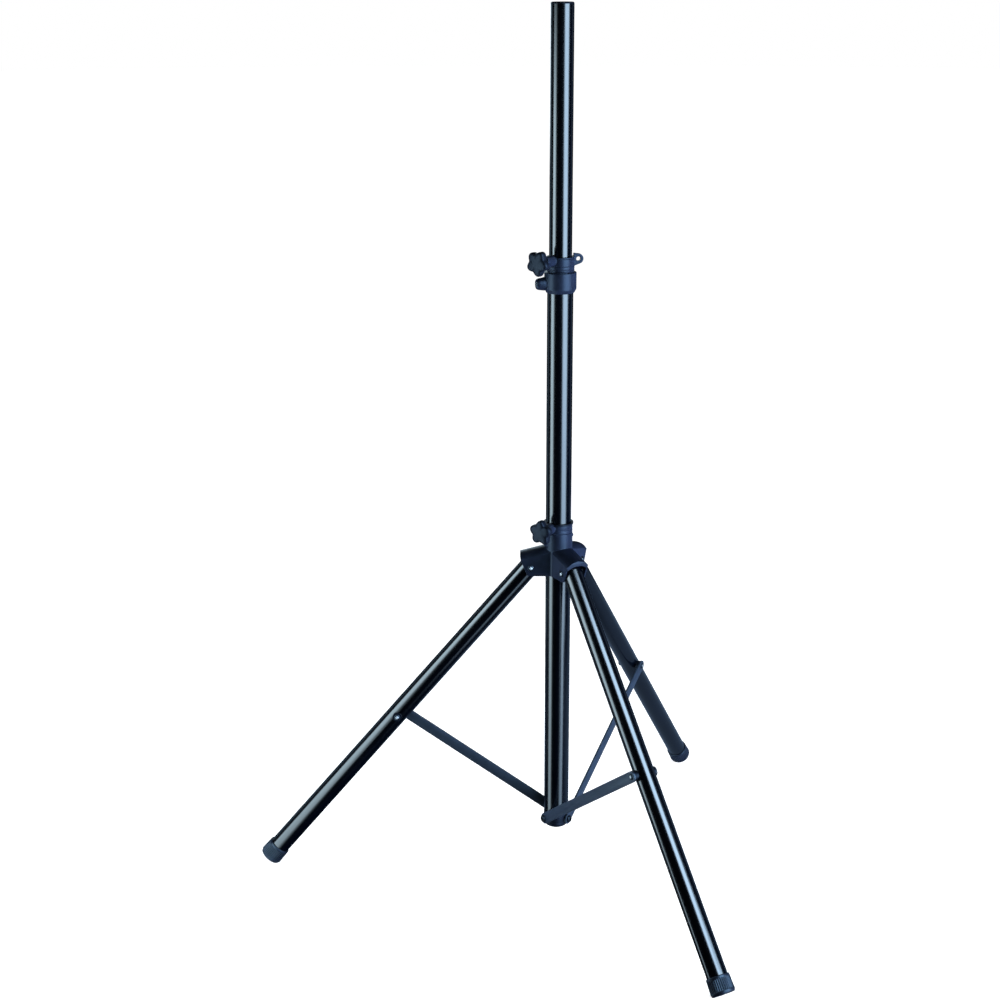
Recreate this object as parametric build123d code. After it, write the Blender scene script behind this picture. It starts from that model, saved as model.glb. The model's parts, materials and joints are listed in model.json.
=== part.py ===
from build123d import *
import os
from math import atan2, cos, degrees, hypot, radians, sin, sqrt

# Tripod stand for a public-address loudspeaker: a telescoping mast, a sliding yoke that carries
# three folding legs, and three flat braces that tie the legs to a hub at the foot of the mast.
#
# Millimetres. The origin is on the floor under the mast, +Z runs up the mast axis, and the front
# leg points along -Y. Everything that belongs to one leg is built for a leg that points along +X,
# with its pivot pins along Y, and is then turned about the mast to that leg's azimuth.

# ---- driving dimensions ------------------------------------------------------------------------
LEG_AZIMUTH = {"front": -90.0, "right": 30.0, "left": 150.0}

# telescoping mast
POLE_R = 17.5             # 35 mm pole, the standard size of a loudspeaker's pole socket
POLE_WALL = 1.5
POLE_TOP = 1391.0         # top of the cap
POLE_LENGTH = 950.0
CAP_THICK = 2.5
GROOVE_Z, GROOVE_WIDTH, GROOVE_DEPTH = 1021.2, 1.0, 0.3   # height mark just above the clamp
MAST_R = 20.0             # 40 mm lower tube
MAST_WALL = 1.5
MAST_BOTTOM, MAST_TOP = 100.0, 1000.0
GUIDE_LENGTH = 40.0
HUB_BOTTOM, HUB_R, HUB_PLUG = 72.5, 20.3, 24.0         # hub's bowl, radius, length in the tube
FIT = 0.05                # radial clearance of a piece that is fixed inside a tube

# clamp at the top of the lower tube
CLAMP_BOTTOM, SLEEVE_TOP, CLAMP_TOP = 964.5, 996.4, 1020.0
SLEEVE_R, RING_R = 24.6, 21.3
SLEEVE_CHAMFER = 6.0
CLAMP_KNOB_AZ, CLAMP_KNOB_Z, CLAMP_KNOB_NEAR = 200.0, 1015.0, 42.0
EYE_AZ, EYE_R, EYE_Z = -20.0, 27.2, 1015.6
EYE_HOLE_R, EYE_OUTER_R, EYE_ROOT_R, EYE_THICK = 3.3, 7.8, 10.0, 6.0
SET_BOSS_AZ, SET_BOSS_Z, SET_BOSS_R, SET_BOSS_END = 165.0, 977.6, 6.9, 38.6
SET_ROOT_Z, SET_ROOT_R = 981.5, 12.0   # the boss widens and rises towards the sleeve
SET_SCREW_R = 4.0
BUSH_BOTTOM = 940.0                   # lower end of the liner that guides the pole

# yoke
YOKE_BOTTOM, COLLAR_TOP, FLANGE_TOP = 514.5, 597.3, 600.0
COLLAR_R, COLLAR_BORE, FLANGE_R = 22.3, 20.9, 23.6
COLLAR_GROOVE_LOW, COLLAR_GROOVE_TOP = 583.2, 584.4
YOKE_KNOB_AZ, YOKE_KNOB_Z, YOKE_KNOB_NEAR = 205.0, 593.4, 36.8
CHEEK_OUT, CHEEK_IN = 19.5, 17.0      # half-widths of an arm's channel
ARM_END = 60.5                        # how far an arm reaches from the mast axis
ROOF_Z, ROOF_SLOPE = 566.4, 0.266     # crown height at the mast axis, fall per mm outwards
ARCH_RISE = 9.0                       # crown above the top of the cheeks
CEILING_Z, CEILING_SLOPE, CEILING_RISE = 564.6, 0.335, 6.5   # the same for the channel's inside

# legs
LEG_R, LEG_WALL = 16.0, 1.5
PIVOT_R, PIVOT_Z = 43.2, 528.0        # leg pivot in the yoke
LEG_SLOPE = 0.8419                    # outward run per mm of drop
LEG_TOP_OVER = 12.0                   # tube above the pivot
BRACE_PIVOT_Z = 271.2                 # brace pivot on the leg
FOOT_R_TOP, FOOT_R_END, FOOT_LENGTH, FOOT_SOLE = 18.0, 18.9, 27.0, 5.0
FOOT_EDGE = 1.2                       # chamfer round the sole

# braces, flat bars beside the legs
HUB_PIVOT_Z = 89.0
BRACE_WIDTH, BRACE_THICK, BRACE_IN = 17.5, 3.0, 20.6   # BRACE_IN: leg plane to the inner face

# pins, studs and knobs
PIN_R, RUN = 3.0, 0.05                # pin radius and running clearance
RIVET_HEAD_R, RIVET_HEAD = 5.0, 2.2
BOLT_HEAD_R, BOLT_HEAD = 6.0, 3.4
SADDLE_R, SADDLE_END = 7.5, 18.6      # spacers under the brace rivet
STUD_R, STUD_RUN = 4.0, 0.06
STUD_BOSS_R, STUD_BOSS_GAP = 8.5, 3.6  # boss round a stud, and its gap to the knob
PAD_LENGTH = 4.0
KNOB_R, KNOB_LOBES, LOBE_R = 19.8, 5, 5.8
KNOB_NECK, KNOB_HEAD = 5.0, 13.0

# ---- worked out from the above -----------------------------------------------------------------
LEG_TILT = degrees(atan2(LEG_SLOPE, 1.0))                    # from the vertical
LEG_DIR = Vector(sin(radians(LEG_TILT)), 0, -cos(radians(LEG_TILT)))
PIVOT = Vector(PIVOT_R, 0, PIVOT_Z)
FOOT_Z = (FOOT_R_END - FOOT_EDGE) * sin(radians(LEG_TILT))   # centre of the sole, rim on the floor
LEG_REACH = (PIVOT_Z - FOOT_Z) / cos(radians(LEG_TILT))      # pivot to sole
BRACE_DROP = (PIVOT_Z - BRACE_PIVOT_Z) / cos(radians(LEG_TILT))
BRACE_PIVOT = PIVOT + LEG_DIR * BRACE_DROP
BRACE_LENGTH = hypot(BRACE_PIVOT.X, BRACE_PIVOT.Z - HUB_PIVOT_Z)
BRACE_RISE = degrees(atan2(BRACE_PIVOT.Z - HUB_PIVOT_Z, BRACE_PIVOT.X))
FOLDED_RISE = sqrt(BRACE_LENGTH**2 - PIVOT_R**2)
YOKE_TRAVEL = HUB_PIVOT_Z + FOLDED_RISE + BRACE_DROP - PIVOT_Z
BRACE_SWING = degrees(atan2(FOLDED_RISE, PIVOT_R)) - BRACE_RISE

PARTS = {}


def ring(outer, inner, low, high):
    """A tube on the mast axis between two heights."""
    body = Pos(0, 0, low) * Cylinder(outer, high - low, align=(Align.CENTER, Align.CENTER, Align.MIN))
    bore = Pos(0, 0, low - 1) * Cylinder(inner, high - low + 2,
                                         align=(Align.CENTER, Align.CENTER, Align.MIN))
    return body - bore


def turned(points):
    """A solid of revolution about the mast axis from (radius, height) points."""
    return revolve(make_face(Plane.XZ * Polyline(*points, close=True)), Axis.Z)


def rod(radius, start, direction, length):
    """A cylinder from a start point along a direction."""
    return Plane(origin=start, z_dir=direction) * Cylinder(
        radius, length, align=(Align.CENTER, Align.CENTER, Align.MIN))


def radial(azimuth, height):
    """Working plane on the mast axis: x is tangential, y is up, z points outwards."""
    a = radians(azimuth)
    return Plane(origin=(0, 0, height), x_dir=(-sin(a), cos(a), 0), z_dir=(cos(a), sin(a), 0))


def spoke(azimuth, height, radius, near, far):
    """A cylinder that points away from the mast, between two distances from its axis."""
    return radial(azimuth, height) * Pos(0, 0, near) * Cylinder(
        radius, far - near, align=(Align.CENTER, Align.CENTER, Align.MIN))


def cross_pin(point, radius, low, high):
    """A cylinder along Y through a point of the leg plane, between two offsets from the plane."""
    return rod(radius, Vector(point.X, low, point.Z), Vector(0, 1, 0), high - low)


def for_each_leg(name, build):
    """Build a piece once for a leg along +X and turn it to each leg's azimuth."""
    piece = build()
    for leg, azimuth in LEG_AZIMUTH.items():
        PARTS[f"{name}_{leg}"] = Rot(0, 0, azimuth) * piece


# ---- telescoping mast --------------------------------------------------------------------------
def lower_tube():
    return ring(MAST_R, MAST_R - MAST_WALL, MAST_BOTTOM, MAST_TOP)


def upper_pole():
    top = POLE_TOP - CAP_THICK
    tube = ring(POLE_R, POLE_R - POLE_WALL, top - POLE_LENGTH, top)
    groove = ring(POLE_R + 1, POLE_R - GROOVE_DEPTH, GROOVE_Z - GROOVE_WIDTH / 2, GROOVE_Z + GROOVE_WIDTH / 2)
    return tube - groove


def pole_cap():
    inner = POLE_R - POLE_WALL - FIT
    return turned([(0, POLE_TOP - 22), (inner, POLE_TOP - 22), (inner, POLE_TOP - CAP_THICK),
                   (POLE_R - 0.1, POLE_TOP - CAP_THICK), (POLE_R - 0.1, POLE_TOP - 0.8),
                   (POLE_R - 0.9, POLE_TOP), (0, POLE_TOP)])


def pole_guide():
    low = POLE_TOP - CAP_THICK - POLE_LENGTH
    return ring(MAST_R - MAST_WALL - 0.08, POLE_R, low, low + GUIDE_LENGTH)


def hub():
    """Plug in the foot of the lower tube; the braces are bolted to its three sides."""
    plug_r = MAST_R - MAST_WALL - FIT
    body = turned([(0, HUB_BOTTOM), (8.0, HUB_BOTTOM + 0.5), (13.5, HUB_BOTTOM + 1.9),
                   (17.5, HUB_BOTTOM + 4.1), (HUB_R, HUB_BOTTOM + 7.3), (HUB_R, MAST_BOTTOM),
                   (plug_r, MAST_BOTTOM), (plug_r, MAST_BOTTOM + HUB_PLUG), (0, MAST_BOTTOM + HUB_PLUG)])
    for azimuth in LEG_AZIMUTH.values():
        body -= spoke(azimuth - 90, HUB_PIVOT_Z, PIN_R + RUN, 9.5, 30)
    return body


def hub_bolts():
    """Three pan-head pivot bolts, one for each brace."""
    near = BRACE_IN + BRACE_THICK + 0.3
    bolts = []
    for azimuth in LEG_AZIMUTH.values():
        head = radial(azimuth - 90, HUB_PIVOT_Z) * Pos(0, 0, near) * Cylinder(
            BOLT_HEAD_R, BOLT_HEAD, align=(Align.CENTER, Align.CENTER, Align.MIN))
        head = chamfer(head.edges().group_by(Axis((0, 0, 0), radial(azimuth - 90, 0).z_dir))[-1], 1.0)
        bolts.append(head + spoke(azimuth - 90, HUB_PIVOT_Z, PIN_R, 10.0, near + 0.5))
    return Compound(children=bolts)


# ---- clamp on the lower tube -------------------------------------------------------------------
def clamp_body():
    bore = MAST_R + 0.02
    body = turned([(bore, CLAMP_BOTTOM), (MAST_R + 1.2, CLAMP_BOTTOM),
                   (SLEEVE_R, CLAMP_BOTTOM + SLEEVE_CHAMFER), (SLEEVE_R, SLEEVE_TOP - 1),
                   (SLEEVE_R - 1, SLEEVE_TOP), (RING_R - 0.8, SLEEVE_TOP),
                   (RING_R - 0.8, SLEEVE_TOP + 2.2), (RING_R, SLEEVE_TOP + 2.2),
                   (RING_R, CLAMP_TOP - 0.6), (RING_R - 0.6, CLAMP_TOP), (bore, CLAMP_TOP)])
    # boss for the clamp knob's stud
    stud_boss = spoke(CLAMP_KNOB_AZ, CLAMP_KNOB_Z, STUD_BOSS_R, 15, CLAMP_KNOB_NEAR - STUD_BOSS_GAP)
    # boss for the set screw that fixes the clamp to the tube
    root = radial(SET_BOSS_AZ, SET_ROOT_Z) * Pos(0, 0, 15) * Circle(SET_ROOT_R)
    tip = radial(SET_BOSS_AZ, SET_BOSS_Z) * Pos(0, 0, SET_BOSS_END) * Circle(SET_BOSS_R)
    set_boss = loft([root, tip], ruled=True)
    outward = Axis((0, 0, 0), radial(SET_BOSS_AZ, 0).z_dir)
    set_boss = fillet(set_boss.edges().group_by(outward)[-1], 2.6)
    # eyelet
    eye = make_hull((Circle(EYE_ROOT_R).moved(Location((18.0, -1.0))).edges()
                     + Circle(EYE_OUTER_R).moved(Location((EYE_R, 0))).edges()))
    a = radians(EYE_AZ)
    eye_plane = Plane(origin=(0, 0, EYE_Z), x_dir=(cos(a), sin(a), 0), z_dir=(sin(a), -cos(a), 0))
    lug = eye_plane * extrude(eye, EYE_THICK / 2, both=True)
    hole = eye_plane * Pos(EYE_R, 0, 0) * Cylinder(EYE_HOLE_R, EYE_THICK + 4)
    inside = ring(bore, 0.01, CLAMP_BOTTOM - 20, CLAMP_TOP + 20) + Pos(0, 0, CLAMP_TOP) * Cylinder(
        bore, 60)
    body = body + (stud_boss + set_boss + lug - inside)
    body -= hole
    body -= spoke(CLAMP_KNOB_AZ, CLAMP_KNOB_Z, STUD_R + STUD_RUN, 15, 40)
    body -= spoke(SET_BOSS_AZ, SET_BOSS_Z, SET_SCREW_R + FIT, 15, 45)
    return body


def clamp_bush():
    """Plastic liner: it sits on the end of the lower tube and guides the pole."""
    bore, skirt, top = POLE_R + RUN, MAST_R - MAST_WALL - FIT, CLAMP_TOP - 0.3
    body = turned([(bore, BUSH_BOTTOM), (skirt, BUSH_BOTTOM), (skirt, MAST_TOP + FIT),
                   (MAST_R - 0.02, MAST_TOP + FIT), (MAST_R - 0.02, top), (bore + 0.8, top),
                   (bore, top - 0.8)])
    return body - spoke(CLAMP_KNOB_AZ, CLAMP_KNOB_Z, STUD_R + STUD_RUN, 10, 30)


def clamp_set_screw():
    screw = spoke(SET_BOSS_AZ, SET_BOSS_Z, SET_SCREW_R, MAST_R + 0.1, SET_BOSS_END - 0.4)
    socket = radial(SET_BOSS_AZ, SET_BOSS_Z) * Pos(0, 0, SET_BOSS_END - 4) * extrude(
        RegularPolygon(2.3, 6), 6)
    return screw - socket


# ---- clamp knobs -------------------------------------------------------------------------------
def star_knob(azimuth, height, near, phase):
    """Five-lobed knob with a tapered neck; near is the neck's end, measured from the mast axis."""
    lobes = Circle(KNOB_R - LOBE_R + 0.2)
    for i in range(KNOB_LOBES):
        lobes += Rot(0, 0, phase + 360 / KNOB_LOBES * i) * Pos(KNOB_R - LOBE_R, 0) * Circle(LOBE_R)
    head = Pos(0, 0, KNOB_NECK) * extrude(lobes, KNOB_HEAD)
    neck = Cone(8.0, 12.5, KNOB_NECK + 1, align=(Align.CENTER, Align.CENTER, Align.MIN))
    socket = Pos(0, 0, -1) * Cylinder(STUD_R + 0.02, 12, align=(Align.CENTER, Align.CENTER, Align.MIN))
    knob = head + neck - socket
    return radial(azimuth, height) * Pos(0, 0, near) * knob


def add_clamp_screw(name, azimuth, height, near, tube_r, phase):
    """Pressure pad, threaded stud and knob of one clamp."""
    pad_near = tube_r + 0.3
    pad_far = pad_near + PAD_LENGTH
    PARTS[f"{name}_pad"] = spoke(azimuth, height, STUD_R, pad_near, pad_far)
    PARTS[f"{name}_stud"] = spoke(azimuth, height, STUD_R, pad_far + RUN, near + 10.8)
    PARTS[f"{name}_knob"] = star_knob(azimuth, height, near, phase)


# ---- yoke --------------------------------------------------------------------------------------
def arm_prism(half_width, crown_z, rise, slope, reach):
    """Inverted U, wider than tall, whose arched roof falls towards the outer end."""
    low = YOKE_BOTTOM - 60
    arch_r = (half_width**2 + rise**2) / (2 * rise)
    outline = Plane.YZ * make_face(
        Polyline((-half_width, crown_z - rise), (-half_width, low), (half_width, low),
                 (half_width, crown_z - rise))
        + RadiusArc((half_width, crown_z - rise), (-half_width, crown_z - rise), -arch_r))
    run = Vector(reach, 0, -reach * slope)
    return Solid.extrude(outline.face(), run)


def channel():
    """The space inside an arm, open below and at the outer end."""
    return arm_prism(CHEEK_IN, CEILING_Z, CEILING_RISE, CEILING_SLOPE, ARM_END + 20)


def arm():
    """One arm: two cheeks and an arched roof, cut to its side outline."""
    outer = arm_prism(CHEEK_OUT, ROOF_Z, ARCH_RISE, ROOF_SLOPE, ARM_END + 10)
    side = make_face(Plane.XZ * Polyline(
        (0, YOKE_BOTTOM), (45.5, YOKE_BOTTOM), (49.0, YOKE_BOTTOM + 1.4), (50.6, YOKE_BOTTOM + 4.6),
        (59.3, 540.8), (ARM_END, 546.5), (ARM_END, 549.0), (ARM_END - 2.2, 552.5), (0, 590), close=True))
    slab = extrude(side, 40, both=True)
    pin_hole = cross_pin(PIVOT, PIN_R + RUN, -30, 30)
    return (outer & slab) - channel() - pin_hole


def yoke_body():
    sleeve = ring(COLLAR_R, COLLAR_BORE, YOKE_BOTTOM, COLLAR_TOP)
    groove = ring(COLLAR_R + 1, COLLAR_R - 0.5, COLLAR_GROOVE_LOW, COLLAR_GROOVE_TOP)
    boss = spoke(YOKE_KNOB_AZ, YOKE_KNOB_Z, STUD_BOSS_R, 15, YOKE_KNOB_NEAR - STUD_BOSS_GAP)
    core = Pos(0, 0, YOKE_BOTTOM - 10) * Cylinder(COLLAR_BORE, 200,
                                                  align=(Align.CENTER, Align.CENTER, Align.MIN))
    body = sleeve - groove + (boss - core)
    one = arm()
    for azimuth in LEG_AZIMUTH.values():
        body += (Rot(0, 0, azimuth) * one) - core
    # the channels of neighbouring arms run into each other inside, so they are opened once more
    inner = channel() - Pos(0, 0, YOKE_BOTTOM - 80) * Cylinder(
        COLLAR_R, 300, align=(Align.CENTER, Align.CENTER, Align.MIN))
    for azimuth in LEG_AZIMUTH.values():
        body -= Rot(0, 0, azimuth) * inner
    body -= spoke(YOKE_KNOB_AZ, YOKE_KNOB_Z, STUD_R + STUD_RUN, 15, 40)
    return body


def yoke_bush():
    """Plastic liner with a flange over the collar's top edge, notched round the stud's boss."""
    body = ring(COLLAR_BORE - 0.03, MAST_R + RUN, YOKE_BOTTOM, FLANGE_TOP)
    flange = ring(FLANGE_R, COLLAR_BORE - 0.1, COLLAR_TOP + 0.02, FLANGE_TOP)
    body += flange - spoke(YOKE_KNOB_AZ, YOKE_KNOB_Z, STUD_BOSS_R + 0.1, 15, 40)
    return body - spoke(YOKE_KNOB_AZ, YOKE_KNOB_Z, STUD_R + STUD_RUN, 15, 40)


def leg_rivet():
    """Pivot rivet through the yoke's cheeks and the top of the leg."""
    pin = cross_pin(PIVOT, PIN_R, -CHEEK_OUT - 0.1, CHEEK_OUT + 0.1)
    for low in (CHEEK_OUT, -CHEEK_OUT - RIVET_HEAD):
        pin += cross_pin(PIVOT, RIVET_HEAD_R, low, low + RIVET_HEAD)
    return pin


# ---- legs --------------------------------------------------------------------------------------
def leg_tube():
    start = PIVOT - LEG_DIR * LEG_TOP_OVER
    length = LEG_TOP_OVER + LEG_REACH - FOOT_SOLE
    tube = rod(LEG_R, start, LEG_DIR, length) - rod(LEG_R - LEG_WALL, start - LEG_DIR, LEG_DIR, length + 2)
    for point in (PIVOT, BRACE_PIVOT):
        tube -= cross_pin(point, PIN_R + RUN, -30, 30)
    return tube


def leg_plug():
    """Insert that closes the top of the tube and bears on the pivot rivet."""
    start = PIVOT - LEG_DIR * LEG_TOP_OVER
    plug = rod(LEG_R - LEG_WALL - FIT, start, LEG_DIR, 32)
    return plug - cross_pin(PIVOT, PIN_R + RUN, -30, 30)


def foot():
    """Rubber cap pushed over the end of the tube."""
    sole = PIVOT + LEG_DIR * LEG_REACH
    frame = Plane(origin=sole, x_dir=(0, 1, 0), z_dir=-LEG_DIR)
    body = revolve(make_face(Plane.XZ * Polyline(
        (0, 0), (FOOT_R_END - FOOT_EDGE, 0), (FOOT_R_END, FOOT_EDGE), (FOOT_R_END, 4),
        (FOOT_R_TOP + 0.5, 5.5), (FOOT_R_TOP, FOOT_LENGTH - 1), (FOOT_R_TOP - 1, FOOT_LENGTH),
        (LEG_R, FOOT_LENGTH), (LEG_R, FOOT_SOLE), (0, FOOT_SOLE), close=True)), Axis.Z)
    return frame * body


def brace_rivet():
    """Rivet through the leg; its outer head on the brace's side is a piece of its own."""
    pin = cross_pin(BRACE_PIVOT, PIN_R, -BRACE_IN + 0.3, SADDLE_END)
    return pin + cross_pin(BRACE_PIVOT, RIVET_HEAD_R, SADDLE_END, SADDLE_END + RIVET_HEAD)


def brace_saddles():
    """Two spacers, hollowed to the tube, that give the rivet flat seats."""
    tube = rod(LEG_R, PIVOT, LEG_DIR, LEG_REACH)
    hole = cross_pin(BRACE_PIVOT, PIN_R + RUN, -40, 40)
    halves = [cross_pin(BRACE_PIVOT, SADDLE_R, low, high) - tube - hole
              for low, high in ((-BRACE_IN + 0.3, -12), (12, SADDLE_END))]
    return Compound(children=[half.solid() for half in halves])


# ---- braces ------------------------------------------------------------------------------------
def brace():
    middle = (Vector(0, 0, HUB_PIVOT_Z) + BRACE_PIVOT) / 2
    frame = Plane(origin=middle - Vector(0, BRACE_IN, 0), z_dir=(0, -1, 0),
                  x_dir=BRACE_PIVOT - Vector(0, 0, HUB_PIVOT_Z))
    outline = SlotCenterToCenter(BRACE_LENGTH, BRACE_WIDTH)
    for x in (-BRACE_LENGTH / 2, BRACE_LENGTH / 2):
        outline -= Pos(x, 0) * Circle(PIN_R + RUN)
    return frame * extrude(outline, BRACE_THICK)


def brace_rivet_head():
    """Outer head of the brace's rivet, with the shank that fills the hole in the bar."""
    face = -BRACE_IN - BRACE_THICK
    return (cross_pin(BRACE_PIVOT, PIN_R, face - 0.1, -BRACE_IN)
            + cross_pin(BRACE_PIVOT, RIVET_HEAD_R, face - RIVET_HEAD, face))


for node, build in (("lower_tube", lower_tube), ("hub", hub), ("hub_bolts", hub_bolts),
                    ("clamp_body", clamp_body), ("clamp_bush", clamp_bush),
                    ("clamp_set_screw", clamp_set_screw), ("upper_pole", upper_pole),
                    ("pole_cap", pole_cap), ("pole_guide", pole_guide),
                    ("yoke_body", yoke_body), ("yoke_bush", yoke_bush)):
    PARTS[node] = build()
add_clamp_screw("clamp", CLAMP_KNOB_AZ, CLAMP_KNOB_Z, CLAMP_KNOB_NEAR, POLE_R, 62.0)
add_clamp_screw("yoke", YOKE_KNOB_AZ, YOKE_KNOB_Z, YOKE_KNOB_NEAR, MAST_R, 18.0)
for node, build in (("leg_rivet", leg_rivet), ("leg_tube", leg_tube), ("leg_plug", leg_plug),
                    ("foot", foot), ("brace_rivet", brace_rivet), ("brace_saddles", brace_saddles),
                    ("brace", brace), ("brace_rivet_head", brace_rivet_head)):
    for_each_leg(node, build)

os.makedirs("parts", exist_ok=True)
for node, shape in PARTS.items():
    export_step(shape, f"parts/{node}.step")

print(f"yoke travel {YOKE_TRAVEL:.3f}  leg swing {LEG_TILT:.3f}  brace swing {BRACE_SWING:.3f}")
print(f"leg pivot {PIVOT_R, PIVOT_Z}  brace pivot {BRACE_PIVOT.X:.2f}, {BRACE_PIVOT.Z:.2f}"
      f"  brace length {BRACE_LENGTH:.2f}  leg reach {LEG_REACH:.2f}")
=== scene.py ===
import bmesh
import bpy
import json
from math import atan2, ceil, cos, degrees, hypot, pi, radians, sin
from mathutils import Matrix, Vector


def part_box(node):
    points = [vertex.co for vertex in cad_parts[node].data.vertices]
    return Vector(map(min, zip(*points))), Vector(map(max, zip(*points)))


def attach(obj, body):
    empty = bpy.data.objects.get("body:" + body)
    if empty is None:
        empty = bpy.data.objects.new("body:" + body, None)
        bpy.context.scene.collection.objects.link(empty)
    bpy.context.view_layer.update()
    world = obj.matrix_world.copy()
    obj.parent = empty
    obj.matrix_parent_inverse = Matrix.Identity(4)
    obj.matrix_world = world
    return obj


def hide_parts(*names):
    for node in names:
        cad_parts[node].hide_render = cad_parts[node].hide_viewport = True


# Tripod loudspeaker stand. The CAD frame gives every place and size. This script adds the finished
# mouldings, fasteners, feet and materials, and a plain white studio round them.
# Shapes are written in millimetres and scaled to metres when a mesh is made.

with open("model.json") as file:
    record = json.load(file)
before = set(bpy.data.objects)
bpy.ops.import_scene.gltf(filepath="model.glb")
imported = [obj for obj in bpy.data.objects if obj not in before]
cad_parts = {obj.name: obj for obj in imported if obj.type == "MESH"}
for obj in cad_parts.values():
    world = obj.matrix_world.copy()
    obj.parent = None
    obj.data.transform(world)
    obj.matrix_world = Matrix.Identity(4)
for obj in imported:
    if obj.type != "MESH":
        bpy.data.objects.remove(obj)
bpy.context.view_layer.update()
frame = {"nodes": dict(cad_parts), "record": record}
nodes = frame["nodes"]

MM = 0.001
UP = Vector((0, 0, 1))
RECORD = frame["record"]
JOINTS = {joint["name"]: joint for joint in RECORD["behaviour"]["joints"]}
BODY = {node: body for body, held in RECORD["behaviour"]["bodies"].items() for node in held}
SLOT = {part["node"]: part["material_slot"] for part in RECORD["subparts"]}
LEGS = ("front", "right", "left")
LEG_SLOPE = 0.8419                       # outward run of a leg per unit of drop

scene = bpy.context.scene


# ---- places read from the frame ----------------------------------------------------------------
def extent(node, direction):
    """Nearest and farthest reach of a CAD node along a direction, in millimetres."""
    reach = [vertex.co.dot(direction) / MM for vertex in nodes[node].data.vertices]
    return min(reach), max(reach)


def axes(origin, z, x):
    """A local frame at a point in millimetres, from its z direction and an x direction."""
    z = z.normalized()
    x = (x - z * x.dot(z)).normalized()
    matrix = Matrix((x, z.cross(x), z)).transposed().to_4x4()
    matrix.translation = origin
    return matrix


def leg_frame(leg):
    """Leg pivot, its outward direction, its pin's direction and the tube's direction."""
    joint = JOINTS[f"leg_{leg}_swing"]
    pivot = Vector(joint["pos_m"]) / MM
    outward = Vector((pivot.x, pivot.y, 0)).normalized()
    along = (outward * LEG_SLOPE - UP).normalized()
    return pivot, outward, Vector(joint["axis"]), along


# ---- materials ---------------------------------------------------------------------------------
def noise(tree, size_mm, detail):
    """Object-space noise with features of about the given size."""
    place = tree.nodes.new("ShaderNodeTexCoord")
    texture = tree.nodes.new("ShaderNodeTexNoise")
    texture.inputs["Scale"].default_value = 1 / (size_mm * MM)
    texture.inputs["Detail"].default_value = detail
    tree.links.new(place.outputs["Object"], texture.inputs["Vector"])
    return texture.outputs["Fac"]


NOISE_LOW, NOISE_HIGH = 0.3, 0.7         # most of a noise's values lie between these
COAT_ROUGHNESS = 0.06


def spread(tree, value, low, high):
    """Map the middle of a noise's range to two limits."""
    node = tree.nodes.new("ShaderNodeMapRange")
    node.inputs["From Min"].default_value = NOISE_LOW
    node.inputs["From Max"].default_value = NOISE_HIGH
    node.inputs["To Min"].default_value = low
    node.inputs["To Max"].default_value = high
    tree.links.new(value, node.inputs["Value"])
    return node.outputs["Result"]


def blend_colors(tree, factor, dark, light):
    """A colour between two, picked by a value from 0 to 1."""
    node = tree.nodes.new("ShaderNodeMix")
    node.data_type = "RGBA"
    node.inputs["A"].default_value = (*dark, 1)
    node.inputs["B"].default_value = (*light, 1)
    tree.links.new(factor, node.inputs["Factor"])
    return node.outputs["Result"]


def surface(name, dark, light, rough, grain_mm, bump_mm, patch_mm,
            metallic=0.0, coat=0.0, specular=0.5, tint=(1, 1, 1)):
    """A finish: two close colours in soft patches, uneven gloss, and a fine surface grain."""
    material = bpy.data.materials.new(name)
    material.use_nodes = True
    tree = material.node_tree
    shader = tree.nodes["Principled BSDF"]
    patches = noise(tree, patch_mm, 2.0)
    grain = noise(tree, grain_mm, 3.0)
    tree.links.new(blend_colors(tree, spread(tree, patches, 0, 1), dark, light),
                   shader.inputs["Base Color"])
    mottled = tree.nodes.new("ShaderNodeMix")
    mottled.inputs["Factor"].default_value = 0.5
    tree.links.new(patches, mottled.inputs["A"])
    tree.links.new(grain, mottled.inputs["B"])
    tree.links.new(spread(tree, mottled.outputs["Result"], *rough), shader.inputs["Roughness"])
    bump = tree.nodes.new("ShaderNodeBump")
    bump.inputs["Strength"].default_value = 1.0
    bump.inputs["Distance"].default_value = bump_mm * MM
    tree.links.new(grain, bump.inputs["Height"])
    tree.links.new(bump.outputs["Normal"], shader.inputs["Normal"])
    shader.inputs["Metallic"].default_value = metallic
    shader.inputs["Coat Weight"].default_value = coat
    shader.inputs["Coat Roughness"].default_value = COAT_ROUGHNESS
    shader.inputs["Specular IOR Level"].default_value = specular
    shader.inputs["Specular Tint"].default_value = (*tint, 1)
    return material


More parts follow.
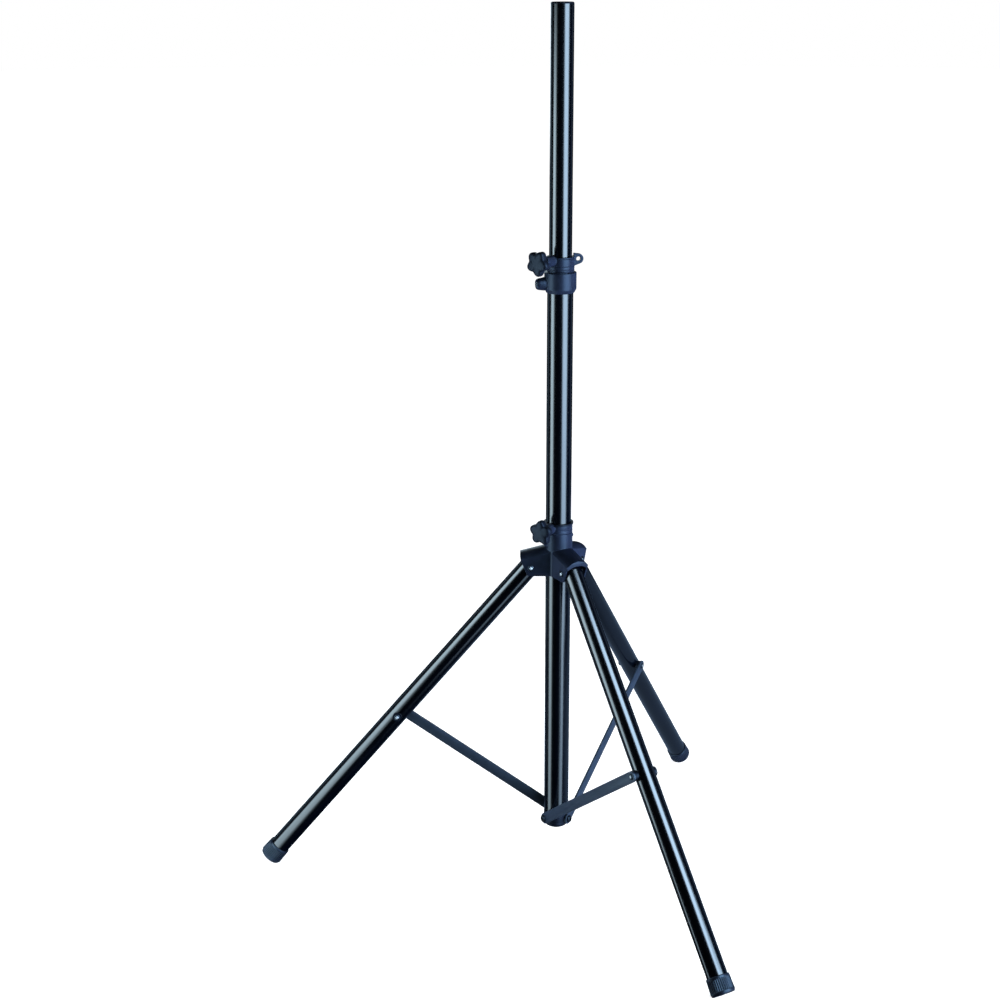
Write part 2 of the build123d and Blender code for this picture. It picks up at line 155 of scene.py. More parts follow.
COOL = (0.6, 0.8, 1.0)                   # tint of the reflections seen face on
MATERIALS = {
    # stove enamel with faint orange peel
    "tube_black": surface("gloss_enamel", (0.0001, 0.0004, 0.0016), (0.0002, 0.0007, 0.0024),
                          (0.15, 0.2), 3.0, 0.004, 60.0, coat=0.1),
    # satin powder coat, finely pitted
    "brace_blue": surface("satin_blue_coat", (0.0055, 0.0085, 0.016), (0.0085, 0.0125, 0.0225),
                          (0.4, 0.5), 0.9, 0.02, 18.0, specular=0.4, tint=COOL),
    # spark-eroded moulding texture
    "plastic_navy": surface("moulded_navy", (0.0046, 0.0068, 0.0165), (0.0068, 0.0098, 0.023),
                            (0.34, 0.44), 0.7, 0.025, 14.0, specular=0.18, tint=COOL),
    "plastic_black": surface("moulded_black", (0.0026, 0.0037, 0.008), (0.0038, 0.0053, 0.011),
                             (0.34, 0.44), 0.8, 0.03, 14.0, specular=0.1, tint=COOL),
    "rivet_steel": surface("zinc_plate", (0.5, 0.52, 0.56), (0.66, 0.67, 0.69),
                           (0.3, 0.44), 0.4, 0.012, 2.5, metallic=1.0),
    "bolt_black": surface("black_oxide", (0.0012, 0.0015, 0.0028), (0.003, 0.0035, 0.006),
                          (0.25, 0.38), 0.5, 0.015, 4.0, specular=0.25, tint=COOL),
    "foot_rubber": surface("ribbed_rubber", (0.003, 0.0042, 0.009), (0.0048, 0.0066, 0.0135),
                           (0.28, 0.38), 0.6, 0.02, 9.0, specular=0.26, tint=COOL),
}
for node, slot in SLOT.items():
    nodes[node].data.materials.clear()
    nodes[node].data.materials.append(MATERIALS[slot])


# ---- mesh building -----------------------------------------------------------------------------
def piece_from(mesh, node, name, slot=None, sharp=38):
    """Turn a mesh into a named piece that moves with a CAD node's body."""
    slot = slot or SLOT[node]
    mesh.materials.clear()
    mesh.materials.append(MATERIALS[slot])
    mesh.shade_smooth()
    mesh.set_sharp_from_angle(angle=radians(sharp))
    piece = bpy.data.objects.new(name, mesh)
    scene.collection.objects.link(piece)
    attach(piece, BODY[node])
    return piece


def skin(rings, place=Matrix(), name="skin"):
    """A closed mesh through rings of equally many points, with a fan over each end."""
    shape = bmesh.new()
    rows = [[shape.verts.new((place @ Vector(point)) * MM) for point in ring] for ring in rings]
    count = len(rows[0])
    for low, high in zip(rows, rows[1:]):
        for i in range(count):
            j = (i + 1) % count
            shape.faces.new((low[i], low[j], high[j], high[i]))
    for row in (rows[0], rows[-1]):
        middle = shape.verts.new(sum((vertex.co for vertex in row), Vector()) / count)
        for i in range(count):
            shape.faces.new((row[i], row[(i + 1) % count], middle))
    bmesh.ops.recalc_face_normals(shape, faces=shape.faces)
    mesh = bpy.data.meshes.new(name)
    shape.to_mesh(mesh)
    shape.free()
    return mesh


def rounded(points, steps=4):
    """An outline of (radius, height, corner size) points with its corners rounded."""
    line = []
    for i, (r, z, corner) in enumerate(points):
        here = Vector((r, z))
        if corner == 0 or i in (0, len(points) - 1):
            line.append(here)
            continue
        before, after = (Vector(points[k][:2]) - here for k in (i - 1, i + 1))
        start = here + before.normalized() * min(corner, 0.49 * before.length)
        end = here + after.normalized() * min(corner, 0.49 * after.length)
        for k in range(steps + 1):
            t = k / steps
            line.append(start * (1 - t)**2 + here * 2 * t * (1 - t) + end * t**2)
    return [(point.x, point.y) for point in line]


def circle(radius, height, count, shape=None):
    """A ring at a height; shape(turn, radius) may change its radius round the turn."""
    ring = []
    for i in range(count):
        turn = 2 * pi * i / count
        r = shape(turn, radius) if shape else radius
        ring.append((r * cos(turn), r * sin(turn), height))
    return ring


def lathe(points, place=Matrix(), count=96):
    """A solid of revolution from an outline that starts and ends near its axis."""
    return skin([circle(r, z, count) for r, z in rounded(points)], place, "turned")


def joined(meshes, name):
    """Several meshes as one."""
    shape = bmesh.new()
    for mesh in meshes:
        shape.from_mesh(mesh)
    result = bpy.data.meshes.new(name)
    shape.to_mesh(result)
    shape.free()
    return result


def evaluated(mesh, *modifiers):
    """A mesh after a stack of modifiers, each given as its type and settings."""
    holder = bpy.data.objects.new("holder", mesh)
    scene.collection.objects.link(holder)
    for kind, settings in modifiers:
        modifier = holder.modifiers.new(kind.lower(), kind)
        for key, value in settings.items():
            setattr(modifier, key, value)
    after = holder.evaluated_get(bpy.context.evaluated_depsgraph_get())
    result = bpy.data.meshes.new_from_object(after)
    bpy.data.objects.remove(holder)
    return result


def moulded(node, extra, voxel_mm, keep, reshape=None):
    """A CAD moulding and extra closed meshes, merged with softened edges.

    reshape may move each vertex, in millimetres. keep is the share of triangles left at the end.
    """
    source = joined([nodes[node].data, *extra], node)
    mesh = evaluated(source, ("REMESH", {"mode": "VOXEL", "voxel_size": voxel_mm * MM}),
                     ("SMOOTH", {"factor": 0.5, "iterations": 5}))
    if reshape:
        for vertex in mesh.vertices:
            vertex.co = reshape(vertex.co / MM) * MM
    return evaluated(mesh, ("DECIMATE", {"ratio": keep}))


# ---- star knobs --------------------------------------------------------------------------------
KNOB_LOBES, KNOB_PEAK, KNOB_VALLEY = 5, 19.8, 15.2
# along the knob's axis: height, share of the star, round radius, inset from the star's edge
KNOB_ROWS = ((0, 0, 7.3, 0), (0.5, 0, 8, 0), (2.6, 0, 8.7, 0), (4.2, 0, 10.3, 0), (5.0, 0, 12.4, 0),
             (5.25, 0.4, 13, 3), (5.5, 0.8, 13.4, 2.2), (5.9, 1, 0, 1.3), (6.6, 1, 0, 0.55),
             (7.6, 1, 0, 0.12), (8.8, 1, 0, 0), (13.0, 1, 0, 0), (14.4, 1, 0, 0.35), (15.5, 1, 0, 1.1),
             (16.3, 1, 0, 2.2), (16.85, 1, 0, 3.7), (17.2, 0.95, 11, 5.4), (17.4, 0.75, 9.6, 7.2),
             (17.6, 0.4, 8.2, 9), (17.8, 0.1, 6.2, 10), (17.9, 0, 4, 0), (17.95, 0, 2, 0))
KNOB_POINTS, LOBE_POWER = 150, 0.85      # points round the knob, and how full its lobes are


def knob_axes(prefix, part):
    """Frame at the near end of a part on a knob's axis, and the part's length."""
    joint = JOINTS[f"{prefix}_knob_turn"]
    axis = Vector(joint["axis"])
    near, far = extent(f"{prefix}_{part}", axis)
    origin = axis * near + UP * (joint["pos_m"][2] / MM)
    return axes(origin, axis, UP.cross(axis)), far - near


def star_knob(prefix, phase):
    """A lobed knob; phase is the turn of its first lobe in degrees."""
    place, _ = knob_axes(prefix, "knob")

    def star(turn):
        lobe = 0.5 + 0.5 * cos(KNOB_LOBES * (turn - radians(phase)))
        return KNOB_VALLEY + (KNOB_PEAK - KNOB_VALLEY) * lobe**LOBE_POWER

    rings = []
    for z, share, round_r, inset in KNOB_ROWS:
        rings.append(circle(0, z, KNOB_POINTS, lambda turn, _: (
            (1 - share) * round_r + share * (star(turn) - inset))))
    knob = piece_from(skin(rings, place), f"{prefix}_knob", f"{prefix}_star_knob", "plastic_black")
    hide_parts(f"{prefix}_knob")


STUD_R, STUD_GAP = 4.0, 0.1              # nominal radius, and how far the crests stay inside it
THREAD_PITCH, THREAD_DEPTH = 1.25, 0.55
THREAD_END, END_TAPER = 1.2, 0.5         # length of the plain lead at each end, and its taper
ROWS_PER_TURN, STUD_POINTS = 6, 28


def threaded_stud(prefix):
    """A stud with a real helical thread that runs out at both ends."""
    place, length = knob_axes(prefix, "stud")
    rings = []
    steps = ceil(length / THREAD_PITCH * ROWS_PER_TURN)
    for k in range(steps + 1):
        z = length * k / steps
        fade = min(1.0, z / THREAD_END, (length - z) / THREAD_END)
        rings.append(circle(STUD_R, z, STUD_POINTS, lambda turn, r: (
            r - STUD_GAP
            - THREAD_DEPTH * (0.5 + 0.5 * cos(2 * pi * z / THREAD_PITCH - turn)) * fade
            - END_TAPER * (1 - fade))))
    stud = piece_from(skin(rings, place), f"{prefix}_stud", f"{prefix}_threaded_stud")
    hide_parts(f"{prefix}_stud")


for prefix, phase in (("clamp", 62.0), ("yoke", 18.0)):
    star_knob(prefix, phase)
    threaded_stud(prefix)


# ---- clamp and yoke mouldings ------------------------------------------------------------------
LINE_DEPTH, WALL_BAND = 0.6, 0.35        # depth of a pressed line, and which radii count as the wall


def pressed(point, heights, radius, half_width):
    """Where a point goes if it is on a shallow round-bottomed line round a wall, else None."""
    r = hypot(point.x, point.y)
    for height in heights:
        offset = abs(point.z - height) / half_width
        if offset < 1 and abs(r - radius) < WALL_BAND:
            scale = (r - LINE_DEPTH / 2 * (1 + cos(pi * offset))) / r
            return Vector((point.x * scale, point.y * scale, point.z))
    return None


RING_R, RING_LINE_HALF = 21.3, 0.8
RING_LINES = (1017.4, 1006.2, 1001.2)    # heights of the fine lines round the clamp's ring


def clamp_shape(point):
    """Press the lines into the ring's wall, and leave the bosses on it alone."""
    moved = pressed(point, RING_LINES, RING_R, RING_LINE_HALF)
    return point if moved is None else moved


SET_AZ, SET_Z = radians(165.0), 978.6    # the set screw's boss
set_out = Vector((cos(SET_AZ), sin(SET_AZ), 0))
set_boss = lathe([(0.1, 22, 0), (10.4, 22, 0), (9.7, 30, 6), (8.6, 36.6, 4), (6.2, 38.7, 2.4),
                  (4.3, 38.4, 0.6), (4.05, 30, 0), (0.1, 30, 0)],
                 axes(UP * SET_Z, set_out, UP), 64)
clamp = piece_from(moulded("clamp_body", [set_boss], voxel_mm=0.45, keep=0.18, reshape=clamp_shape),
                   "clamp_body", "clamp_moulding")
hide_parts("clamp_body")

COLLAR_R, COLLAR_LINE_HALF = 22.3, 0.9
COLLAR_LINES = (589.8, 583.8)            # heights of the lines round the yoke's collar
# the arched ceiling of an arm: height on the mast's axis, fall per unit outwards, fall at its sides
CEILING_Z, CEILING_FALL, CEILING_ARCH = 564.6, 0.335, 6.5
MOUTH_HALF, CEILING_BAND = 17.0, 1.6     # half the arm's inner width, and what counts as the ceiling
LIP_FROM, LIP_RAMP, LIP_DROP = 56.5, 1.2, 2.2    # the arms' mouths end in a thicker rim
ARMS = [leg_frame(leg)[1:3] for leg in LEGS]     # outward and pin directions


def yoke_shape(point):
    """Press lines round the collar, and thicken the rim of each arm's arched mouth inwards."""
    moved = pressed(point, COLLAR_LINES, COLLAR_R, COLLAR_LINE_HALF)
    if moved is not None:
        return moved
    for outward, pin in ARMS:
        reach, across = point.dot(outward), abs(point.dot(pin))
        ceiling = CEILING_Z - CEILING_FALL * reach - CEILING_ARCH * (across / MOUTH_HALF)**2
        if reach > LIP_FROM and across < MOUTH_HALF - 0.1 and abs(point.z - ceiling) < CEILING_BAND:
            share = min(1.0, (reach - LIP_FROM) / LIP_RAMP)
            return Vector((point.x, point.y, point.z - LIP_DROP * share))
    return point


# a small nub on the collar, then a bead in each corner between two arms
NUB_AZ, NUB_Z, NUB_R, NUB_REACH, NUB_DEEP = radians(-29.0), 578.0, 2.6, 23.9, 3.0
nub_out = Vector((cos(NUB_AZ), sin(NUB_AZ), 0))
extras = [lathe([(0.1, 0, 0), (NUB_R, 0, 0), (2.4, 2.6, 1.2), (0.1, NUB_DEEP, 0)],
                axes(nub_out * (NUB_REACH - NUB_DEEP) + UP * NUB_Z, nub_out, UP), 32)]
BEAD_OUT, BEAD_R, BEAD_LOW, BEAD_HIGH = 20.3, 2.9, 515.2, 552
for azimuth in (-30, 90, 210):
    corner = Vector((cos(radians(azimuth)), sin(radians(azimuth)), 0)) * BEAD_OUT
    extras.append(lathe([(0.1, BEAD_LOW, 0), (BEAD_R, BEAD_LOW, 0.6), (BEAD_R, BEAD_HIGH, 0.6),
                         (0.1, BEAD_HIGH, 0)], axes(corner, UP, Vector((1, 0, 0))), 32))
yoke = piece_from(moulded("yoke_body", extras, voxel_mm=0.5, keep=0.13, reshape=yoke_shape),
                  "yoke_body", "yoke_moulding")
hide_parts("yoke_body")


# ---- hub ---------------------------------------------------------------------------------------
hub_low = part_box("hub")[0][2] / MM
HUB_R, SHOULDER, PLUG_R, PLUG_TOP = 20.3, 100.0, 18.3, 110.0    # the plug is inside the mast
hub = piece_from(lathe([
    (0.1, hub_low + 4.0, 0), (3.4, hub_low + 4.0, 0.6), (3.8, hub_low, 0.8), (8.0, hub_low + 0.5, 3),
    (13.5, hub_low + 1.9, 4), (17.5, hub_low + 4.1, 4), (HUB_R, hub_low + 7.6, 2),
    (HUB_R, hub_low + 10.2, 0.3), (HUB_R - 0.5, hub_low + 10.6, 0.2), (HUB_R - 0.5, hub_low + 11.4, 0.2),
    (HUB_R, hub_low + 11.8, 0.3), (HUB_R, SHOULDER - 0.1, 0.8), (PLUG_R, SHOULDER, 0),
    (PLUG_R, PLUG_TOP, 1), (0.1, PLUG_TOP, 0)]), "hub", "hub_moulding")
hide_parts("hub")


# ---- fasteners ---------------------------------------------------------------------------------
SHANK_R = 2.9                            # of the bolts and the rivets
BOLT_HEAD_R, BOLT_HEAD, BOLT_SHANK, BOLT_GAP = 6.0, 3.4, 8.0, 0.3
SOCKET_TOP, SOCKET_FLOOR, SOCKET_DEEP = 2.55, 2.45, 2.0    # half widths across flats, and depth
# the spacers between the hub and the braces: distance from the mast's axis, radius, thickness
SPACER_SEAT, SPACER_R, SPACER_THICK = 18.0, 7.4, 2.45
RIVET_HEAD_R, RIVET_HEAD, CORE_R = 5.0, 2.2, 2.3
HEAD_POINTS = 48


def hexagon(turn, apothem):
    """Radius of a hexagon at a turn, from half its width across flats."""
    return apothem / cos((turn + pi / 6) % (pi / 3) - pi / 6)


def socket_bolt(place, radius, height, shank):
    """Button head with a hexagonal socket; z points out of the head, zero is under it."""
    rings = [circle(SHANK_R, -shank, HEAD_POINTS), circle(SHANK_R, 0, HEAD_POINTS)]
    rings += [circle(r, z, HEAD_POINTS) for r, z in (
        (radius - 0.3, 0.0), (radius, 0.35), (radius, height * 0.4), (radius * 0.93, height * 0.68),
        (radius * 0.78, height * 0.9), (radius * 0.6, height), (radius * 0.52, height - 0.05))]
    rings += [circle(SOCKET_TOP, height - 0.3, HEAD_POINTS, hexagon),
              circle(SOCKET_FLOOR, height - SOCKET_DEEP, HEAD_POINTS, hexagon)]
    return skin(rings, place)


def washer(place, radius, inner, thick):
    """A flat ring with eased edges, from z = 0 outwards."""
    return skin([circle(r, z, HEAD_POINTS) for r, z in (
        (inner, 0.0), (radius - 0.4, 0.0), (radius, 0.3), (radius, thick - 0.3),
        (radius - 0.4, thick), (inner, thick))], place)


def rivet_dome(place, radius, height):
    """Domed head from z = 0 outwards, with a small set-down round its middle."""
    return skin([circle(r, z, HEAD_POINTS) for r, z in (
        (radius - 0.4, 0.0), (radius, 0.3), (radius, height * 0.28), (radius * 0.95, height * 0.5),
        (radius * 0.82, height * 0.74), (radius * 0.64, height * 0.9),
        (radius * 0.5, height * 0.95), (radius * 0.43, height * 0.86))], place)


def rivet_core(place, radius, height):
    """The bright upset end of the pin in the middle of a dome."""
    return skin([circle(r, z, 32) for r, z in (
        (radius, height * 0.4), (radius, height * 0.85), (radius * 0.86, height * 0.97),
        (radius * 0.5, height))], place)


def rivet_shank(place, low, high):
    """The pin between two heights of a place."""
    return lathe([(0.1, low, 0), (SHANK_R, low, 0.3), (SHANK_R, high, 0.3), (0.1, high, 0)], place, 40)


hub_pivot = Vector(JOINTS["brace_front_swing"]["pos_m"]) / MM
for leg in LEGS:
    pin = leg_frame(leg)[2]
    face = -extent(f"brace_{leg}", pin)[0]             # outer face of the brace from the leg plane
    place = axes(hub_pivot - pin * (face + BOLT_GAP), -pin, UP)
    piece_from(socket_bolt(place, BOLT_HEAD_R, BOLT_HEAD, BOLT_SHANK),
                            "hub_bolts", f"hub_bolt_{leg}")
    seat = axes(hub_pivot - pin * SPACER_SEAT, -pin, UP)
    piece_from(washer(seat, SPACER_R, SHANK_R, SPACER_THICK),
               "hub_bolts", f"hub_spacer_{leg}", "plastic_black")
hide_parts("hub_bolts")         # the three bolts share one node


def rivet_head(name, node, place):
    """A black dome with a bright core, as two pieces on a node's body. Returns the dome."""
    dome = piece_from(rivet_dome(place, RIVET_HEAD_R, RIVET_HEAD), node, name, "bolt_black")
    piece_from(rivet_core(place, CORE_R, RIVET_HEAD), node, f"{name}_core", "rivet_steel")
    return dome


for leg in LEGS:
    pivot, _, pin, along = leg_frame(leg)
    low, high = extent(f"leg_rivet_{leg}", pin)
    for side, sign in (("near", 1), ("far", -1)):
        rivet_head(f"leg_rivet_head_{leg}_{side}", f"leg_rivet_{leg}",
                   axes(pivot + pin * sign * (high - RIVET_HEAD), pin * sign, along))
    shank = piece_from(rivet_shank(axes(pivot, pin, along), low + 1, high - 1),
                       f"leg_rivet_{leg}", f"leg_rivet_shank_{leg}")
    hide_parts(f"leg_rivet_{leg}")


# ---- feet --------------------------------------------------------------------------------------
FLUTES, FLUTE_POINTS, FLUTE_DEPTH, FLUTE_POWER = 36, 8, 0.85, 1.2
# from the sole up: height, radius, share of the flutes' depth
FOOT_ROWS = ((0.9, 2.5, 0), (0.9, 5.0, 0), (0.2, 5.7, 0), (0.2, 8.4, 0), (0.9, 9.1, 0), (0.9, 11.4, 0),
             (0.2, 12.1, 0), (0.2, 14.4, 0), (0.9, 15.0, 0), (0.9, 15.6, 0), (0.1, 16.2, 0),
             (0.0, 16.8, 0), (0.3, 17.2, 0), (1.2, 17.7, 0), (2.4, 18.2, 0), (3.4, 18.65, 0),
             (3.9, 18.8, 0), (4.3, 18.8, 0.2), (4.9, 18.7, 0.8), (5.8, 18.6, 1), (14, 18.4, 1),
             (21.5, 18.12, 1), (22.4, 18.1, 0.75), (23.1, 18.08, 0.1), (23.6, 18.08, 0),
             (25.6, 18.0, 0), (26.5, 17.75, 0), (27.0, 17.1, 0), (27.0, 16.15, 0), (26.4, 16.02, 0),
             (6.0, 16.02, 0))


def foot(leg):
    """A rubber foot, fluted along its length."""
    pivot, _, pin, along = leg_frame(leg)
    sole = extent(f"foot_{leg}", along)[1] - pivot.dot(along)
    place = axes(pivot + along * sole, -along, pin)
    rings = []
    for z, radius, share in FOOT_ROWS:
        rings.append(circle(radius, z, FLUTES * FLUTE_POINTS, lambda turn, r: (
            r - share * FLUTE_DEPTH * (0.5 - 0.5 * cos(FLUTES * turn))**FLUTE_POWER)))
    piece = piece_from(skin(rings, place), f"foot_{leg}", f"ribbed_foot_{leg}", sharp=50)
    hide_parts(f"foot_{leg}")


for leg in LEGS:
    foot(leg)


# ---- braces ------------------------------------------------------------------------------------
BRACE_R = 8.75                           # half the bar's width
BRACE_EASE, BEVEL = 0.55, 0.16           # how far the bar's edges are rounded, and a step between
END_STEPS = 24                           # round each end of the bar


def slot_ring(length, radius, inset, z):
    """Outline of a bar with round ends, centred on the first pivot."""
    ring = []
    for middle, start in ((0.0, 90), (length, -90)):
        for k in range(END_STEPS + 1):
            turn = radians(start + 180 * k / END_STEPS)
            ring.append((middle + (radius - inset) * cos(turn), (radius - inset) * sin(turn), z))
    return ring


def brace(leg):
    """A flat bar from the hub to a leg, and the rivet at the leg."""
    pivot, _, pin, along = leg_frame(leg)
    rivet_low, rivet_high = (Vector(corner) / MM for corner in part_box(f"brace_rivet_{leg}"))
    end_z = (rivet_low.z + rivet_high.z) / 2
    end = pivot + along * ((pivot.z - end_z) / -along.z)
    near, far = (-reach for reach in reversed(extent(f"brace_{leg}", pin)))
    bar = end - hub_pivot
    place = axes(hub_pivot, -pin, bar)
    levels = ((near, BRACE_EASE), (near + BEVEL, BEVEL), (near + BRACE_EASE, 0),
              (far - BRACE_EASE, 0), (far - BEVEL, BEVEL), (far, BRACE_EASE))
    rings = [slot_ring(bar.length, BRACE_R, inset, z) for z, inset in levels]
    piece = piece_from(skin(rings, place), f"brace_{leg}", f"brace_bar_{leg}", sharp=30)
    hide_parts(f"brace_{leg}")
    # the rivet's outer head rides on the bar, its inner head and shank on the leg
    outer = rivet_head(f"brace_rivet_outer_{leg}", f"brace_rivet_head_{leg}",
                       axes(end - pin * far, -pin, bar))
    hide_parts(f"brace_rivet_head_{leg}")
    low, high = extent(f"brace_rivet_{leg}", pin)
    rivet_head(f"brace_rivet_inner_{leg}", f"brace_rivet_{leg}",
               axes(end + pin * (high - RIVET_HEAD), pin, along))
    shank = piece_from(rivet_shank(axes(end, pin, along), low, high - 1),
                       f"brace_rivet_{leg}", f"brace_rivet_shank_{leg}")
    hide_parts(f"brace_rivet_{leg}")


for leg in LEGS:
    brace(leg)


# ---- pole cap ----------------------------------------------------------------------------------
cap_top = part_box("pole_cap")[1][2] / MM
pole_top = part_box("upper_pole")[1][2] / MM
CAP_R, CAP_PLUG_R, CAP_PLUG = 17.4, 15.9, 15     # rim, and the plug inside the pole
cap = piece_from(lathe([
    (0.1, pole_top - CAP_PLUG, 0), (CAP_PLUG_R, pole_top - CAP_PLUG, 1), (CAP_PLUG_R, pole_top, 0.1),
    (CAP_R, pole_top, 0.3), (CAP_R, cap_top - 1.4, 0.8), (16.0, cap_top, 1.0), (13.6, cap_top, 0.6),
    (12.6, cap_top - 0.8, 0.6), (0.1, cap_top - 1.0, 0)]), "pole_cap", "pole_end_cap")
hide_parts("pole_cap")


# ---- camera ------------------------------------------------------------------------------------
CAMERA_AT = Vector((-1.39835, -2.34322, 1.44688))
CAMERA_AZ = degrees(atan2(CAMERA_AT.y, CAMERA_AT.x))
# the view passes a little to one side of the mast, and looks down
HEADING, PITCH, ROLL = radians(CAMERA_AZ + 180 + 1.936), radians(16.576), radians(0.095)
FOCAL_WIDTHS, SENSOR = 1.80884, 36       # focal length in frame widths; sensor width in millimetres
forward = Vector((cos(PITCH) * cos(HEADING), cos(PITCH) * sin(HEADING), -sin(PITCH)))
level = forward.cross(UP).normalized()
down = forward.cross(level)
image_right = cos(ROLL) * level + sin(ROLL) * down
image_down = -sin(ROLL) * level + cos(ROLL) * down
camera = bpy.data.objects.new("camera", bpy.data.cameras.new("camera"))
camera.matrix_world = (Matrix.Translation(CAMERA_AT)
                       @ Matrix((image_right, -image_down, -forward)).transposed().to_4x4())
camera.data.sensor_width = SENSOR
camera.data.lens = FOCAL_WIDTHS * SENSOR
camera.data.clip_end = 200
scene.collection.objects.link(camera)
scene.camera = camera


# ---- studio ------------------------------------------------------------------------------------
FLOOR_R, BACKDROP_R = 24, 25             # metres
WORLD_STRENGTH = 0.3


def glow(name, strength, diffuse=0.0):
    """A white stage material that shines, and takes soft shadows where it is diffuse too."""
    material = bpy.data.materials.new(name)
    material.use_nodes = True
    tree = material.node_tree
    shader = tree.nodes["Principled BSDF"]
    shader.inputs["Base Color"].default_value = (diffuse, diffuse, diffuse, 1)
    shader.inputs["Roughness"].default_value = 1.0
    shader.inputs["Specular IOR Level"].default_value = 0.0
    shader.inputs["Emission Color"].default_value = (1, 1, 1, 1)
    shader.inputs["Emission Strength"].default_value = strength
    return material


def seen_by(thing, camera=False, glossy=False):
    """Show a stage object to the camera or in reflections only, with no shadow or light of its own."""
    thing.visible_camera, thing.visible_glossy = camera, glossy
    thing.visible_diffuse = thing.visible_shadow = thing.visible_transmission = False


bpy.ops.mesh.primitive_circle_add(vertices=128, radius=FLOOR_R, fill_type="NGON")
floor = bpy.context.object
floor.name = "floor"
floor.data.materials.append(glow("pale_floor", strength=0.8, diffuse=0.8))
seen_by(floor, camera=True)

bpy.ops.mesh.primitive_uv_sphere_add(segments=48, ring_count=24, radius=BACKDROP_R)
backdrop = bpy.context.object
backdrop.name = "backdrop"
backdrop.data.materials.append(glow("white_backdrop", strength=1.0))
seen_by(backdrop, camera=True)


def product(tree, first, second):
    """Two values multiplied, the second of which may be a plain number."""
    node = tree.nodes.new("ShaderNodeMath")
    node.operation = "MULTIPLY"
    for socket, value in zip(node.inputs, (first, second)):
        if isinstance(value, float):
            socket.default_value = value
        else:
            tree.links.new(value, socket)
    return node.outputs["Value"]


def edge_fade(tree, value, edge):
    """One in the middle of a 0 to 1 span, falling smoothly to nothing over each edge."""
    pieces = []
    for low, high in ((0.0, edge), (1.0, 1.0 - edge)):
        node = tree.nodes.new("ShaderNodeMapRange")
        node.interpolation_type = "SMOOTHSTEP"
        node.inputs["From Min"].default_value = low
        node.inputs["From Max"].default_value = high
        tree.links.new(value, node.inputs["Value"])
        pieces.append(node.outputs["Result"])
    return product(tree, *pieces)


END_FADE = 0.15                          # share of a panel's height that fades at each end
EVEN = (1.0, 0.0, 1.0)                   # a foot as bright as the rest


def softbox(name, azimuth, elevation, distance, target, width, height, radiance, color, edge,
            foot=EVEN):
    """A soft-edged panel, seen only in reflections, that faces a target.

    foot is the share of light left at the foot, and the heights the panel brightens between.
    """
    foot_share, foot_low, foot_high = foot
    a, e = radians(azimuth), radians(elevation)
    out = Vector((cos(a) * cos(e), sin(a) * cos(e), sin(e)))
    side = UP.cross(out).normalized()
    place = Matrix((side, out.cross(side), out)).transposed().to_4x4()
    place.translation = Vector(target) + out * distance
    mesh = bpy.data.meshes.new(name)
    w, h = width / 2, height / 2
    mesh.from_pydata([(-w, -h, 0), (w, -h, 0), (w, h, 0), (-w, h, 0)], [], [(0, 3, 2, 1)])
    layer = mesh.uv_layers.new(name="panel")
    for loop, corner in zip(layer.data, ((0, 0), (0, 1), (1, 1), (1, 0))):
        loop.uv = corner
    material = bpy.data.materials.new(name)
    material.use_nodes = True
    tree = material.node_tree
    tree.nodes.remove(tree.nodes["Principled BSDF"])
    chart = tree.nodes.new("ShaderNodeUVMap")
    split = tree.nodes.new("ShaderNodeSeparateXYZ")
    tree.links.new(chart.outputs["UV"], split.inputs["Vector"])
    rise = tree.nodes.new("ShaderNodeMapRange")
    rise.interpolation_type = "SMOOTHSTEP"
    rise.inputs["From Min"].default_value = foot_low
    rise.inputs["From Max"].default_value = foot_high
    rise.inputs["To Min"].default_value = foot_share
    rise.inputs["To Max"].default_value = 1.0
    tree.links.new(split.outputs["Y"], rise.inputs["Value"])
    strength = product(tree, edge_fade(tree, split.outputs["X"], edge),
                       edge_fade(tree, split.outputs["Y"], END_FADE))
    strength = product(tree, strength, product(tree, rise.outputs["Result"], float(radiance)))
    lamp = tree.nodes.new("ShaderNodeEmission")
    lamp.inputs["Color"].default_value = (*color, 1)
    tree.links.new(strength, lamp.inputs["Strength"])
    tree.links.new(lamp.outputs["Emission"], tree.nodes["Material Output"].inputs["Surface"])
    mesh.materials.append(material)
    panel = bpy.data.objects.new(name, mesh)
    panel.matrix_world = place
    scene.collection.objects.link(panel)
    seen_by(panel, glossy=True)


def fill_light(name, azimuth, distance, width, low, high, radiance, color):
    """Soft light from one side that shapes matt surfaces and leaves no reflection."""
    a = radians(azimuth)
    light = bpy.data.lights.new(name, "AREA")
    light.shape = "RECTANGLE"
    light.size, light.size_y = width, high - low
    light.color = color
    light.energy = radiance * pi * width * (high - low)
    lamp = bpy.data.objects.new(name, light)
    lamp.location = (distance * cos(a), distance * sin(a), (low + high) / 2)
    lamp.rotation_euler = Vector((cos(a), sin(a), 0)).to_track_quat("Z", "Y").to_euler()
    lamp.visible_camera = False
    lamp.visible_glossy = False
    scene.collection.objects.link(lamp)


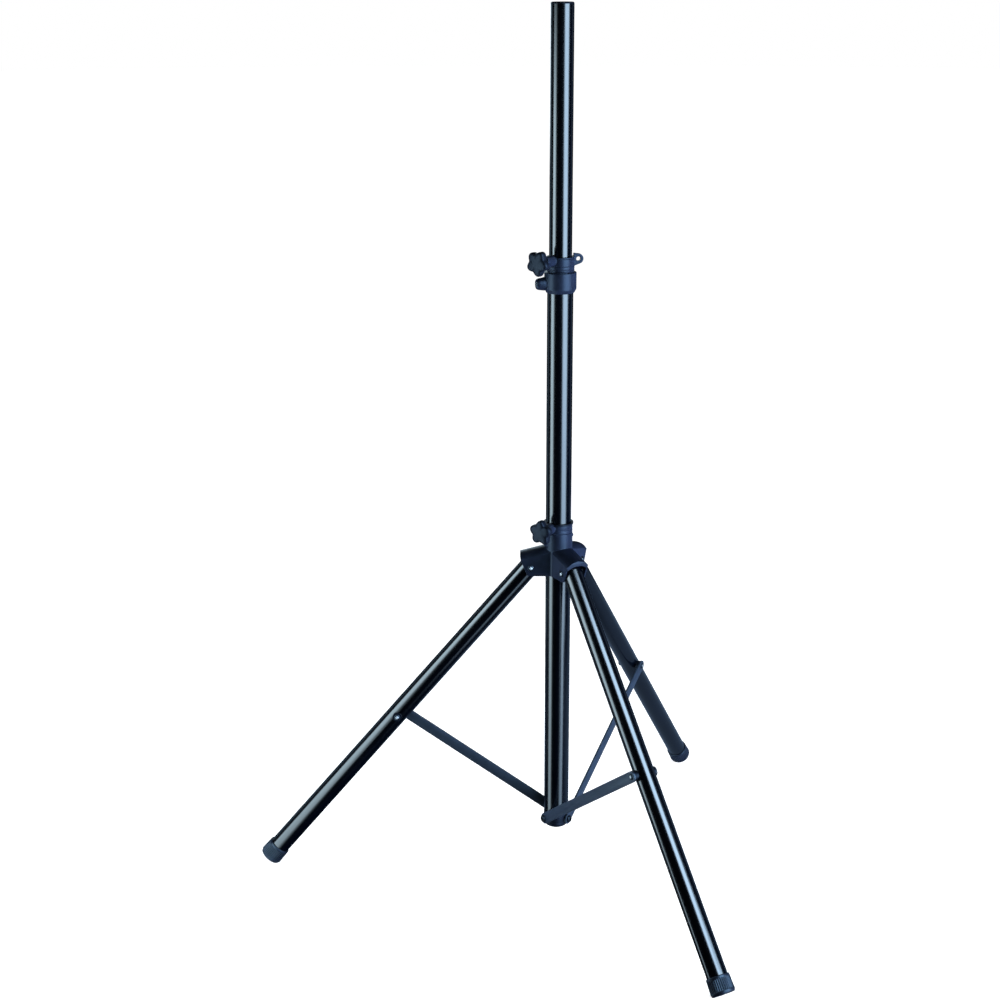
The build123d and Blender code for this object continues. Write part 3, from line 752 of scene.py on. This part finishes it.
BLUE_WHITE, PALE_BLUE, SKY = (0.54, 0.76, 1.0), (0.66, 0.87, 1.0), (0.75, 0.88, 1.0)
# name, azimuth as a turn from the camera's own, elevation, distance, target, width, height,
# radiance, colour, edge, foot; all lengths in metres
softbox("right_strip", CAMERA_AZ + 47, 0, 2.4, (0, 0, -0.1), 2.65, 4.6, 17.0, BLUE_WHITE, 0.3,
        (0.3, 0.27, 0.72))
softbox("right_top", CAMERA_AZ + 38, 47, 2.6, (0, -0.25, 0.3), 2.3, 1.5, 22.0, BLUE_WHITE, 0.25)
# turned and set close, so that the front leg's lower part doesn't catch it
softbox("left_strip", CAMERA_AZ - 18.5, 0, 1.0, (-0.211, 0.906, 0.0), 1.08, 3.0, 12.0, PALE_BLUE, 0.25,
        (0.3, 0.25, 0.85))
softbox("back_panel", CAMERA_AZ + 197, 0, 3.6, (0, 0, 1.7), 2.8, 2.0, 3.2, (0.7, 0.88, 1.0), 0.3)
softbox("left_back_strip", CAMERA_AZ - 124, 0, 3.0, (0, 0, 0.8), 1.6, 6.0, 0.45, (0.5, 0.75, 1.0), 0.3)
softbox("right_back_strip", CAMERA_AZ + 122, 0, 3.0, (0, 0, 0.8), 1.6, 6.0, 0.3, (0.5, 0.7, 1.0), 0.3)
softbox("floor_glow", CAMERA_AZ + 151, -89, 0.02, (1.0, 0.55, 0), 2.4, 2.4, 0.38, (0.42, 0.64, 1.0),
        0.3)
# name, azimuth, distance, width, lowest and highest point, radiance, colour
fill_light("left_fill", CAMERA_AZ - 105, 1.4, 1.4, -1.3, 0.4, 12.0, SKY)
fill_light("right_fill", CAMERA_AZ + 76, 3.0, 2.5, -2.6, 1.4, 21.0, SKY)

world = bpy.data.worlds.new("world")
scene.world = world
world.use_nodes = True
world.node_tree.nodes["Background"].inputs["Color"].default_value = (1, 1, 1, 1)
world.node_tree.nodes["Background"].inputs["Strength"].default_value = WORLD_STRENGTH
world.cycles_visibility.glossy = False
scene.view_settings.view_transform = "Standard"
